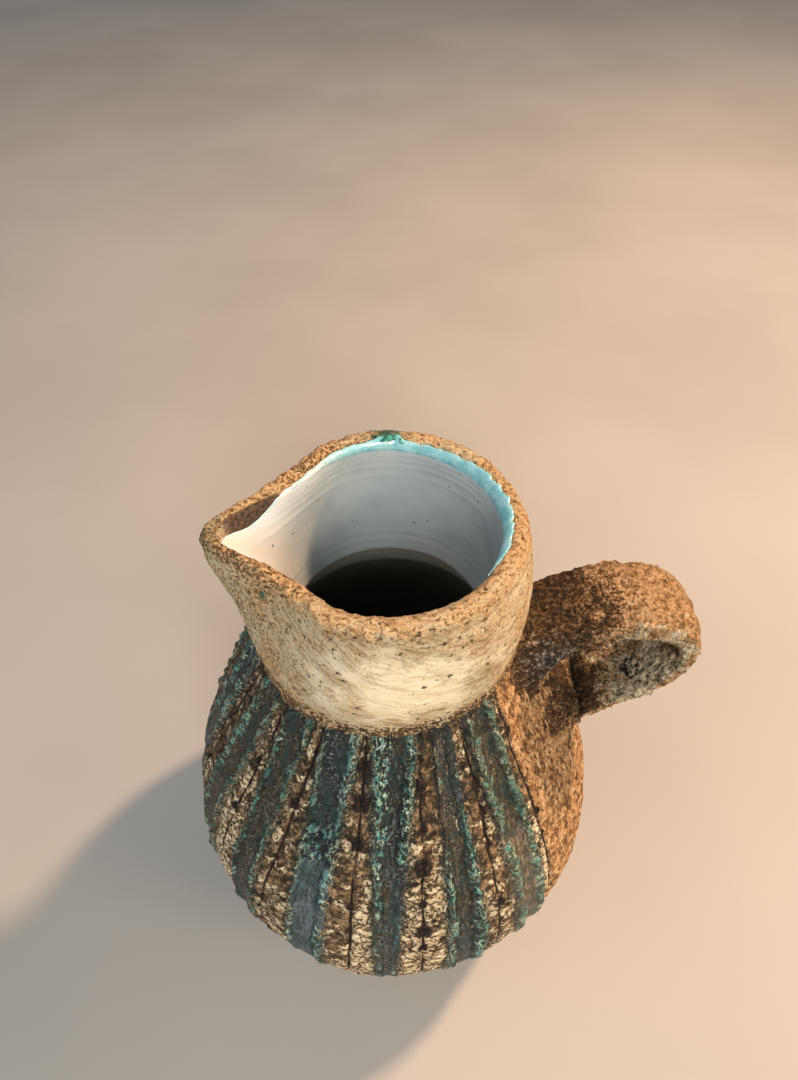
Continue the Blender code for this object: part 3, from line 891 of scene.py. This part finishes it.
def belly_relief(flow, away, groove, knot, plain, covered):
    """How far the clay stands out: lumps, ledges and pits, and incised lines with their burrs and knots."""
    coarse = noise.fractal(flow, 6.0, octaves=4, gain=0.68)
    ledges = noise.fractal(flow, (7, 7, 2.8), octaves=3)
    pits, number = grit.cells(flow, (2.6, 2.6, 4.6))
    pit = ease(pits, 0.42, 0.16) * (number > 0.35)
    relief = 0.58 * coarse + 0.28 * ledges - 0.60 * pit * np.clip(0.35 + plain, 0, 1)
    relief = relief - 0.95 * groove + 0.28 * bell(away, 1.5, 0.8) * (1 - plain) + knot
    return relief * (1 - 0.85 * covered * (1 - plain)) - 0.5 * covered * (1 - plain)


def belly_inside(azimuth):
    """Rings down the inside, from the seam with the collar to the middle of the floor."""
    wall, normals = wall_at(BELLY, np.linspace(BELLY_LENGTH, 12, 16))
    outline = [(max(radius, 0), max(height, FLOOR)) for radius, height in wall - WALL * normals]
    outline = [(THROAT_RADIUS, SEAM_HEIGHT), *outline, (20, FLOOR)]
    return [on_turn(radius, azimuth, height) for radius, height in outline]


def make_belly(material):
    """The thrown belly with its incised lines, knots of grit, slip and plain panel."""
    lengths = np.linspace(0, BELLY_LENGTH, 152)
    wall, normals = wall_at(BELLY, lengths)
    radius, height = wall[:, [0]], wall[:, [1]]
    azimuth, nearest, lines = belly_columns(lengths)
    length = np.broadcast_to(lengths[:, None], azimuth.shape)
    flow = flow_of(azimuth, length)
    away = np.abs(np.radians(turn_between(azimuth, lines[:, nearest]))) * radius
    first, last = (np.radians(turn_between(azimuth, lines[:, [end]])) * radius for end in (0, -1))
    plain = ease(first, 0, 0.8) * ease(last, 0, -0.8)
    groove = bell(away, 0, 0.48) * np.clip(0.85 + 0.6 * noise.fractal(flow, 12, octaves=2), 0, 1)
    broken = np.clip(0.95 + 0.5 * noise.fractal(flow, 2.2, octaves=3), 0, 1.2)
    knot = knots_at(azimuth, height, lines) * broken
    stain, covered = stripe_shadow(azimuth, height)
    uneven = noise.fractal(flow, (9, 9, 11), octaves=3)
    cream = slip_cover(azimuth, height, radius, uneven) * (1 - plain)
    dim = belly_darker_clay_and_painted_shade(azimuth, height, radius, flow, cream, plain)
    relief = belly_relief(flow, away, groove, knot, plain, covered) + clay_swell(azimuth, length)
    outer = off_wall(wall, normals, azimuth, relief * ease(length, 0, 5))
    foot = [on_turn(ring_radius, azimuth[0], 0) for ring_radius in (12, 26, 38, 41)]
    inside = belly_inside(azimuth[-1])
    values = {
        "flow": flow, "plain": plain, "groove": groove, "knot": knot, "cream": cream, "dim": dim,
        "stain": stain * (1 - plain),
    }
    for name, value in values.items():
        padding = [(len(foot), len(inside))] + [(0, 0)] * (value.ndim - 1)
        values[name] = np.pad(value, padding, mode="edge")
    grid = np.stack([*foot, *outer, *inside])
    return add_piece("belly", grid, material, ["belly_wall"], values)


def low_to_high(pair, high):
    """From the first of a pair of values low down to the second high up."""
    return pair[0] + (pair[1] - pair[0]) * high


def stripe_ridges(stripe, ragged, high, gaps):
    """The crusty ridges at a stripe's left and right, and the dark lines beside them."""
    ridge, line = 0, 0
    for place, width, *strengths in (stripe.left, stripe.right):
        strength = low_to_high(strengths, high) * np.clip(0.85 + 0.9 * gaps, 0, 1.1)
        ridge = np.maximum(ridge, bell(ragged, place, 1.3 * width) * strength)
    for place, width, *strengths in stripe.lines:
        strength = low_to_high(strengths, high) * np.clip(1.0 + 0.9 * gaps, 0, 1)
        line = np.maximum(line, bell(ragged, place, width) * strength)
    return ridge, line


def stripe_lift(ridge, line, ragged, lumps, bright):
    """How far the glaze stands off the wall: ridges, a scraped channel, dark lines and ragged edges."""
    narrow = np.abs(ragged)
    channel = np.clip(1 - 1.6 * ridge, 0, 1) * ease(narrow, 0.9, 0.7)
    lift = 0.60 + 1.15 * ridge + 0.85 * lumps * ridge + 0.22 * lumps * (1 - bright) - 0.60 * channel
    return lift - 0.9 * line - ease(narrow, 0.88, 1.08) * (1.2 - 0.6 * lumps)


def make_stripe(index, material):
    """One stripe of thick glaze: two crusty ridges with a scraped channel between them."""
    stripe = stripe_plan()[index]
    lengths = np.linspace(13 + 2.5 * math.sin(index * 2.1), BELLY_LENGTH - 0.6, 280)
    wall, normals = wall_at(BELLY, lengths)
    height = wall[:, [1]]
    side = np.linspace(-STRIPE_EDGE, STRIPE_EDGE, 37)
    azimuth = at_height(stripe.middles, height) + at_height(stripe.halves, height) * side
    length = np.broadcast_to(lengths[:, None], azimuth.shape)
    flow = flow_of(azimuth, length)
    ragged = side + 0.20 * noise.fractal(flow + 40, (4.5, 4.5, 6), octaves=3)
    lumps = noise.fractal(flow + 80, (2.6, 2.6, 3.2), octaves=4, gain=0.7)
    flakes, _ = grit.cells(flow + 0.5 * lumps[..., None], (2.1, 2.1, 2.5))
    lumps = 0.55 * lumps + 1.1 * (0.5 - flakes)
    gaps = noise.fractal(flow + 120, (8, 8, 11), octaves=2)
    high = ease(height, 97, 112)
    ridge, line = stripe_ridges(stripe, ragged, high, gaps)
    if index == THREE_RIDGED:
        third = bell(ragged, -0.05, 0.3) * ease(height, 124, 130)
        ridge = np.maximum(ridge, third * np.clip(0.35 + gaps, 0, 1))
    if index == HEAPED:
        heap = ease(height, 101, 103) * ease(height, 118, 112) * ease(np.abs(side), 1.1, 0.9)
        ridge = np.maximum(ridge, heap * np.clip(0.40 + 1.5 * lumps, 0, 1))
    bright = low_to_high(stripe.bright, high) * np.ones_like(azimuth)
    ends = ease(length, lengths[0], lengths[0] + 5) * ease(length, lengths[-1], lengths[-1] - 3)
    lift = stripe_lift(ridge, line, ragged, lumps, bright) * (0.35 + 0.65 * ease(length, 40, 75))
    top = off_wall(wall, normals, azimuth, lift * ends - 0.9 * (1 - ends) + clay_swell(azimuth, length))
    sides = azimuth[:, [-1, 0]]
    root = off_wall(wall, normals, sides, clay_swell(sides, length[:, [-1, 0]]) - STRIPE_ROOT)
    values = {
        "flow": flow, "across": side, "ridge": np.clip(ridge, 0, 1.2), "line": line, "blue": stripe.blue,
        "bright": bright, "pale": stripe.pale, "green": stripe.green,
    }
    for label, value in values.items():
        value = np.broadcast_to(value, azimuth.shape) if np.ndim(value) < 3 else value
        values[label] = np.concatenate([value, value[:, [-1, 0]]], axis=1)
    name = f"stripe_{index + 1:02d}"
    grid = np.concatenate([top, root], axis=1)
    return add_piece(name, grid, material, [f"glaze_{name}"], values)


def make_belly_lining(material):
    """The dark glaze inside the belly, with the white glaze just under the throat greyed as painted shade,
    more so lower down.
    """
    azimuth = np.arange(0, 360, 3)
    lengths = np.concatenate([np.linspace(BELLY_LENGTH - 0.5, 154, 60), np.linspace(154, 14, 40)[1:]])
    wall, normals = wall_at(BELLY, lengths)
    rings = []
    for offset, order in ((1.3, -1), (0.3, 1)):
        coat = wall - (WALL + offset) * normals
        coat = coat[coat[:, 1] > FLOOR + offset + 1.7]
        throat = np.array([THROAT_RADIUS - 0.75 * offset, SEAM_HEIGHT + 0.4 + 0.35 * offset])
        share = np.arange(8)[:, None] / 8
        floor = [(36, FLOOR + offset + 0.3), (20, FLOOR + offset)]
        coat = np.vstack([throat + (coat[0] - throat) * share, coat, floor])
        rings += [on_turn(radius, azimuth, height) for radius, height in coat[::order]]
    grid = np.stack(rings)
    height = grid[..., 2]
    edge = 133.5 + 0.35 * noise.fractal(flow_of(azimuth, 0), 12, octaves=2)
    # Painted shade: the white glaze is only partly mixed in, and less lower down, so it greys into the throat
    white = ease(height, edge - 0.7, edge + 0.7) * (0.50 + 0.12 * ease(height, 135, 145))
    return add_piece("belly_lining", grid, material, ["belly_inside_glaze"], {"white": white})


# ---- The collar ----
def lip_arc(first, last, steps):
    turn = np.radians(np.linspace(first, last, steps))
    return np.stack([LIP_MIDDLE + LIP_ROUND * np.cos(turn), LIP_HEIGHT + LIP_ROUND * np.sin(turn)], axis=-1)


# The clay's outline goes up the outside, over the lip and down the inside
COLLAR_OUTER = curve_through(COLLAR_OUTSIDE, 30)
COLLAR_INNER = curve_through(COLLAR_INSIDE, 30)
COLLAR_OUTLINE = np.vstack([COLLAR_OUTER, lip_arc(0, 180, 40)[1:-1], COLLAR_INNER[::-1]])
LIP_STARTS = lengths_along(COLLAR_OUTER)[-1]
LIP_ENDS = LIP_STARTS + math.pi * LIP_ROUND

# The glazes inside follow the inner wall from the throat up and on over the inner half of the lip
INNER = np.vstack([COLLAR_INNER, lip_arc(180, 90, 30)[1:]])
INNER_NORMALS = -outward(INNER)
INNER_LENGTH = lengths_along(INNER)
INNER_LIP = lengths_along(COLLAR_INNER)[-1]


def collar_masks(azimuth, length, height):
    """Where the collar's clay differs, each from 0 to 1."""
    outside = ease(length, LIP_ENDS, LIP_ENDS - 2)
    return types.SimpleNamespace(
        outside=outside,
        lip=ease(length, LIP_STARTS - 1.5, LIP_STARTS + 1.5) * outside,
        below_lip=length < LIP_STARTS,
        skirt=bell(height, 147, 2.3) * (length < LIP_STARTS),
        back_left=sector(azimuth, 128, 32),
        left=sector(azimuth, -158, 30) * outside,
        front_left=sector(azimuth, -140, 24),
        front=sector(azimuth, -85, 45),
        right=sector(azimuth, -15, 34),
        calm=sector(azimuth, -84, 32) * bell(height, 166, 13),
    )


def collar_relief(flow, brushed, pit, where):
    """How far the clay stands out: brushed streaks, crumbs, pits, a crusty lip and a ragged lower edge."""
    streaks = noise.fractal(brushed, (17, 17, 2.2), octaves=4)
    crumbs = noise.fractal(flow, 3.0, octaves=4, gain=0.66)
    rough = 0.11 + 0.40 * where.skirt + where.lip * (0.26 + 0.38 * where.back_left) + 0.20 * where.left
    relief = 0.45 * noise.fractal(flow, 24, octaves=2) + 0.12 * streaks + rough * crumbs * 1.7 - 0.22 * pit
    relief = relief + where.skirt * (0.9 + 0.6 * noise.fractal(flow, 5, octaves=3))
    return relief * where.outside


def collar_looks(azimuth, length, height, where):
    """Where the slip is worn, ochre, crusted brown or splashed with glaze, and the spout's bare flank."""
    lip, back_left, front_left = where.lip, where.back_left, where.front_left
    ochre = lip * (0.60 - 0.40 * where.front) + 0.15 * ease(height, 176, 185) * where.outside
    ochre = ochre + 0.60 * ease(height, 158, 148) + 0.42 * where.right + 0.48 * front_left
    ochre = ochre + 0.30 * back_left * lip + 0.38 * where.left
    crust = where.skirt * 0.75 + lip * (0.26 + 0.50 * back_left - 0.20 * where.front)
    crust = crust + 0.40 * sector(azimuth, 190, 24) + 0.04 * where.right + 0.08 * where.left
    crust = crust + 0.25 * front_left + (0.62 + 0.2 * front_left) * ease(height, 157, 148)
    spot = sector(azimuth, 214, 1.8) * bell(height, 180.5, 1.3) * where.below_lip
    green = spot + 0.9 * sector(azimuth, 88, 9) * lip + 0.35 * sector(azimuth, SPOUT_AZIMUTH, 8) * lip
    return {
        "rough": np.clip(1.05 - 1.25 * where.calm + 0.3 * lip + 0.5 * where.left, 0, 1.5),
        "ochre": np.clip(ochre, 0, 1.3),
        "crust": np.clip(crust, 0, 1),
        "green": np.clip(green, 0, 1),
        "bare": sector(azimuth, 168, 13) * ease(length, LIP_ENDS - 3.4, LIP_ENDS - 1.6),
    }


def make_collar(material):
    """The thrown collar with its pulled spout, brushed with cream slip."""
    total = lengths_along(COLLAR_OUTLINE)[-1]
    lengths = np.concatenate([np.linspace(0, LIP_ENDS, 96), np.linspace(LIP_ENDS, total, 14)[1:]])
    wall, normals = wall_at(COLLAR_OUTLINE, lengths)
    height = wall[:, [1]]
    azimuth = np.arange(440) * 360 / 440
    length = np.broadcast_to(lengths[:, None], (len(lengths), len(azimuth)))
    flow = flow_of(azimuth, length) * (0.66, 0.66, 1)
    brushed = flow.copy()
    brushed[..., 2] += 22 * np.sin(np.radians(azimuth + 130))
    where = collar_masks(azimuth, length, height)
    pits, number = grit.cells(flow, (3.1, 3.1, 1.9))
    pit = ease(pits, 0.36, 0.14) * (number > 0.55 + 0.35 * where.calm) * where.outside
    grid = off_wall(wall, normals, azimuth, collar_relief(flow, brushed, pit, where))
    droop = bell(length, 0, 1.6) * (0.5 + 0.45 * noise.fractal(flow, 6, octaves=3))
    grid[..., 2] -= droop * where.below_lip
    values = {"flow": brushed, "pit": pit, **collar_looks(azimuth, length, height, where)}
    grid = shape_mouth(grid)
    return add_piece("collar", grid, material, ["collar_with_spout"], values, joined=True)


def on_inner_wall(length, azimuth, offset):
    """Points over the collar's inside, by their length up from the throat and their offset off the clay."""
    columns = [np.interp(length, INNER_LENGTH, column) for column in (*INNER.T, *INNER_NORMALS.T)]
    radius, height, out_radius, out_height = columns
    return shape_mouth(on_turn(radius + out_radius * offset, azimuth, height + out_height * offset))


def make_collar_lining(material):
    """The white glaze inside the collar, with throwing rings. It leaves the spout's back flank bare."""
    azimuth = np.arange(360.0)
    top = INNER_LIP + 1.6 + 0.35 * noise.fractal(flow_of(azimuth, 0), 9, octaves=3)
    top = top - 5.2 * sector(azimuth, 171, 9) - 2.8 * sector(azimuth, 186, 10)
    top = top - 1.7 * ease(np.abs(turn_between(azimuth, FRONT_AZIMUTH)), 95, 45)
    share = np.linspace(0, 1, 110)[:, None]
    length = 0.3 + (top - 0.3) * share
    flow = flow_of(azimuth, length) * 0.6
    height = np.interp(length, INNER_LENGTH, INNER[:, 1])
    rings = sum(bell(height, level, 0.8) for level in (181.0, 179.2, 177.0, 173.4, 152.4, 149.6))
    thick = 1.04 + 0.10 * rings * (1 + 0.8 * noise.fractal(flow, 20, octaves=2))
    thick = thick + 0.12 * noise.fractal(flow, 14, octaves=2)
    front = on_inner_wall(length, azimuth, thick * (1 - share**14) + 0.05)
    back = on_inner_wall(length[::-1], azimuth, 0.02)
    tint = ease(length, top - 1.4, top) * 0.5 * ease(np.abs(turn_between(azimuth, 80)), 125, 90)
    # Painted light: the warm patch marks where the key light falls on the spout side, where the glaze is
    # painted lighter
    warm = sector(azimuth, 187, 38) * ease(height, 148, 156)
    values = {"tint": out_and_back(tint), "warm": out_and_back(warm)}
    grid = np.vstack([front, back])
    nodes = ["collar_inside_glaze"]
    return add_piece("collar_lining", grid, material, nodes, values, joined=True)


def make_rim_glaze(material):
    """The roll of turquoise glaze on the inner lip, wide at the handle side and thin towards the spout."""
    azimuth = np.linspace(-36, 150, 300)
    edge = noise.fractal(flow_of(azimuth, 0), 4.5, octaves=3)
    ends = ease(azimuth, -36, -24) * ease(azimuth, 150, 110)
    dark = bell(azimuth, 86, 7)
    ragged = 0.25 + 0.8 * dark + 0.5 * bell(azimuth, 15, 45)
    high = INNER_LIP + 0.9 + (1.1 + ragged * edge + 2.2 * dark + 1.5 * bell(azimuth, 5, 35)) * ends
    wide = 4.6 * bell(azimuth, 8, 42) + 1.6
    low = INNER_LIP + 0.9 - (wide + 0.25 * noise.fractal(flow_of(azimuth, 0) + 9, 14, octaves=2)) * ends
    share = np.linspace(0, 1, 22)[:, None]
    length = low + (high - low) * share
    bulge = 0.62 + 0.18 * noise.fractal(flow_of(azimuth, length), 5, octaves=3)
    bulge = bulge * np.sin(np.pi * share) ** 0.35 * (0.20 + 0.50 * ends)
    front = on_inner_wall(length, azimuth, 0.42 + bulge)
    back = on_inner_wall(length[::-1], azimuth, 0.15)
    grid = np.vstack([front, back]).transpose(1, 0, 2)
    looks = {
        "dark": dark * ease(share, 0.4, 0.7),
        "pale": ease(azimuth, 104, 138) * np.ones_like(share),
        "fade": ease(share + 0.12 * edge, 0.55, 0.0) * ease(azimuth, 60, 20),
    }
    values = {name: out_and_back(value).T for name, value in looks.items()}
    return add_piece("rim_glaze", grid, material, ["rim_turquoise_glaze"], values)


# ---- The handle ----
SECTION = 120
SECTION_TURN = 2 * np.pi * (np.arange(SECTION) + 0.5) / SECTION

# The wads' footprints on the wall: azimuth, height, half their width in degrees and half their height
UPPER_FOOTPRINT = (-4, 138.5, 25, 14.5)
LOWER_FOOTPRINT = (-3, 108, 23, 13.5)


def squared(power):
    """Points of a section, across it and up it: round for a power of 1, squarer for less."""
    return (np.sign(part) * np.abs(part) ** power for part in (np.cos(SECTION_TURN), np.sin(SECTION_TURN)))


def strap_rings(steps):
    """Rings of the strap along its path, each as (points, 3), from the upper end to the lower one."""
    path = curve_through(STRAP_PATH, 40)
    path = at_lengths(path, np.linspace(0, lengths_along(path)[-1], steps))
    slope = np.gradient(path[:, :2], axis=0)
    slope /= np.linalg.norm(slope, axis=1, keepdims=True)
    side, rise = squared(0.5)
    rings = []
    for (x, z, thick), (dx, dz) in zip(path, slope):
        lift = thick / 2 * rise + np.where(rise > 0, STRAP_CROWN * (1 - side**2), 0)
        rings.append(np.stack([x - dz * lift, STRAP_HALF_WIDTH * side, z + dx * lift], axis=-1))
    return np.stack(rings)


def on_outer_wall(azimuth, height, sunk):
    """Points on the outside of the belly and collar, or sunk into it."""
    wall = np.vstack([BELLY, COLLAR_OUTER[1:]])
    return on_turn(np.interp(height, wall[:, 1], wall[:, 0]) - sunk, azimuth, height)


def flare(ring, beyond, footprint, steps, reach):
    """Rings that spread from a strap's end ring, away from the one beyond it, to a footprint on the wall."""
    azimuth, height, half_azimuth, half_height = footprint
    side, rise = squared(0.72)
    foot = on_outer_wall(azimuth + half_azimuth * side, height + half_height * rise, 0.5)
    inner = on_outer_wall(azimuth + 0.55 * half_azimuth * side, height + 0.55 * half_height * rise, 0)
    landing = foot - inner
    landing = landing / np.linalg.norm(landing, axis=-1, keepdims=True)
    leaving = (ring - beyond).mean(axis=0)
    leaving = leaving / np.linalg.norm(leaving)
    rings = []
    for t in np.linspace(0, 1, steps):
        start, end = 2 * t**3 - 3 * t**2 + 1, 3 * t**2 - 2 * t**3
        start_pull, end_pull = (t**3 - 2 * t**2 + t) * reach, (t**3 - t**2) * reach * 0.8
        rings.append(start * ring + start_pull * leaving + end * foot + end_pull * landing)
    return np.stack(rings)


def rough_handle(rings):
    """Crumbs, lumps and pits over the whole handle."""
    normals = grid_normals(rings)
    centre = rings.mean(axis=1, keepdims=True)
    inwards = np.sum(normals * (rings - centre), axis=-1).mean() < 0
    normals = -normals if inwards else normals
    lumps = 0.45 * noise.fractal(rings + 300, 11, octaves=2)
    crumbs = 0.80 * noise.fractal(rings + 200, 3.0, octaves=4, gain=0.80)
    pits, number = grit.cells(rings, 2.2)
    pit = 0.7 * ease(pits, 0.50, 0.15) * (number > 0.45)
    grains, size = grit.cells(rings + 50, 1.9)
    grain = 0.55 * ease(grains, 0.45, 0.1) * (size > 0.55)
    return rings + normals * (lumps + crumbs - pit + grain)[..., None]


def handle_looks(rings):
    """Where the handle is darkened, ashen, pale with slip, or has its hole. The darkening is painted shade on
    the tail and under the strap near the wall, and beside the collar partly dark clay, partly painted shade.
    """
    x, y, z = np.moveaxis(rings, -1, 0)
    under = ease(np.sin(SECTION_TURN), 0.1, -0.4)
    near = ease(-y, 4, 12)
    # Beside the collar: partly dark brown clay, partly painted shade
    dark = 0.10 + 1.15 * ease(x, 74, 46) * ease(z, 128, 140) - 0.15 * near * ease(x, 64, 54)
    # Painted shade on the tail, against the wall under the strap
    dark = dark + 0.90 * ease(z, 106, 115) * ease(z, 132, 127) * ease(x, 67, 58)
    # Painted shade under the strap, deepest near the wall
    dark = dark + under * (0.15 + 0.5 * ease(x, 74, 60))
    pale = under * (0.25 + 0.45 * ease(x, 64, 84)) + 0.45 * bell(y, -12.5, 2.5) * ease(x, 60, 70)
    pale = (pale + 0.4 * ease(x, 66, 76) * ease(z, 130, 120) * near) * ease(x, 56, 64)
    return {
        "dark": np.clip(dark, 0, 1.3),
        "grey": 0.85 * bell(x, 46, 8) * bell(y, -13.5, 4.5) * bell(z, 141, 8),
        "pale": np.clip(pale, 0, 1),
        "hole": 0.9 * bell(x, 74.5, 3.2) * bell(y, -4, 4.5) * under,
    }


def make_handle(material):
    """The strap and its two wads, shaped as one and parted where the solids are."""
    strap = strap_rings(170)
    upper = flare(strap[0], strap[2], UPPER_FOOTPRINT, 46, 17)[::-1]
    lower = flare(strap[-1], strap[-3], LOWER_FOOTPRINT, 40, 15)
    rings = rough_handle(np.concatenate([upper[:-1], strap, lower[1:]]))
    values = handle_looks(rings)
    first, last = len(upper) - 1, len(upper) - 1 + len(strap)
    parts = (
        ("handle_root", "handle_upper_wad", "dark_clay", 0, first + 1),
        ("handle", "handle_strap", "handle_clay", first, last),
        ("handle_tail", "handle_lower_wad", "dark_clay", last - 1, len(rings)),
    )
    for name, node, slot, start, end in parts:
        part_values = {label: value[start:end] for label, value in values.items()}
        add_piece(name, rings[start:end], material, [node], part_values)


# ---- Camera, floor and light ----
SENSOR_WIDTH = 36
FOCAL_LENGTH = 24.97
CAMERA_PLACE = (4.07, -133.46, 320.88)
CAMERA_ANGLES = (43.267, 1.058, -1.124)

# The floor's half width and the lights' distances and sizes are in metres
FLOOR_HALF = 12.0
AIM_HEIGHT = 0.1
SKY = (0.86, 0.94, 1.0)
SKY_STRENGTH = 0.34

# Each light's azimuth, elevation, distance, size, power in watts and colour
LIGHTS = {
    "warm key": (29, 47, 1.3, 0.10, 29, (1.0, 0.63, 0.37)),
    "warm side": (-30, 22, 1.4, 0.45, 13, (1.0, 0.70, 0.42)),
    "soft front": (-84, 32, 1.5, 0.7, 24, (1.0, 0.94, 0.83)),
    "cool fill": (200, 38, 1.6, 1.4, 7, SKY),
}


def add_camera():
    camera = bpy.data.cameras.new("camera")
    camera.sensor_width = SENSOR_WIDTH
    camera.lens = FOCAL_LENGTH
    viewer = bpy.data.objects.new("camera", camera)
    viewer.location = [part * MM for part in CAMERA_PLACE]
    viewer.rotation_euler = [math.radians(angle) for angle in CAMERA_ANGLES]
    bpy.context.scene.collection.objects.link(viewer)
    bpy.context.scene.camera = viewer


def add_floor():
    f = Finish("pale floor")
    cloud = f.noise(220.0, detail=3, roughness=0.5)
    colour = f.blend(cloud, 0.3, 0.7, (0.27, 0.262, 0.255), (0.31, 0.30, 0.292))
    mesh = bpy.data.meshes.new("floor")
    half = FLOOR_HALF
    corners = [(-half, -half, 0), (half, -half, 0), (half, half, 0), (-half, half, 0)]
    mesh.from_pydata(corners, [], [(0, 1, 2, 3)])
    mesh.materials.append(f.finish(colour, 0.6, specular=0.3))
    floor = bpy.data.objects.new("floor", mesh)
    bpy.context.scene.collection.objects.link(floor)


def add_light(name, azimuth, elevation, distance, size, power, colour):
    """A square area light that looks at the middle of the jug."""
    light = bpy.data.lights.new(name, "AREA")
    light.size = size
    light.energy = power
    light.color = colour
    lamp = bpy.data.objects.new(name, light)
    turn, rise = math.radians(azimuth), math.radians(elevation)
    reach = distance * math.cos(rise)
    lamp.location = (reach * math.cos(turn), reach * math.sin(turn), distance * math.sin(rise) + AIM_HEIGHT)
    lamp.rotation_euler = (math.pi / 2 - rise, 0, turn + math.pi / 2)
    bpy.context.scene.collection.objects.link(lamp)


def add_world():
    world = bpy.data.worlds.new("studio")
    world.use_nodes = True
    background = world.node_tree.nodes["Background"]
    background.inputs["Color"].default_value = (*SKY, 1)
    background.inputs["Strength"].default_value = SKY_STRENGTH
    bpy.context.scene.world = world


def build():
    add_camera()
    add_floor()
    for name, settings in LIGHTS.items():
        add_light(name, *settings)
    add_world()
    make_belly(belly_clay())
    glaze = stripe_glaze()
    for index in range(len(FRONT_STRIPES) + BACK_STRIPES):
        make_stripe(index, glaze)
    make_belly_lining(dark_glaze())
    make_collar(collar_clay())
    make_collar_lining(white_glaze())
    make_rim_glaze(turquoise_glaze())
    make_handle(handle_clay())
    bpy.context.scene.view_settings.view_transform = "Standard"


build()
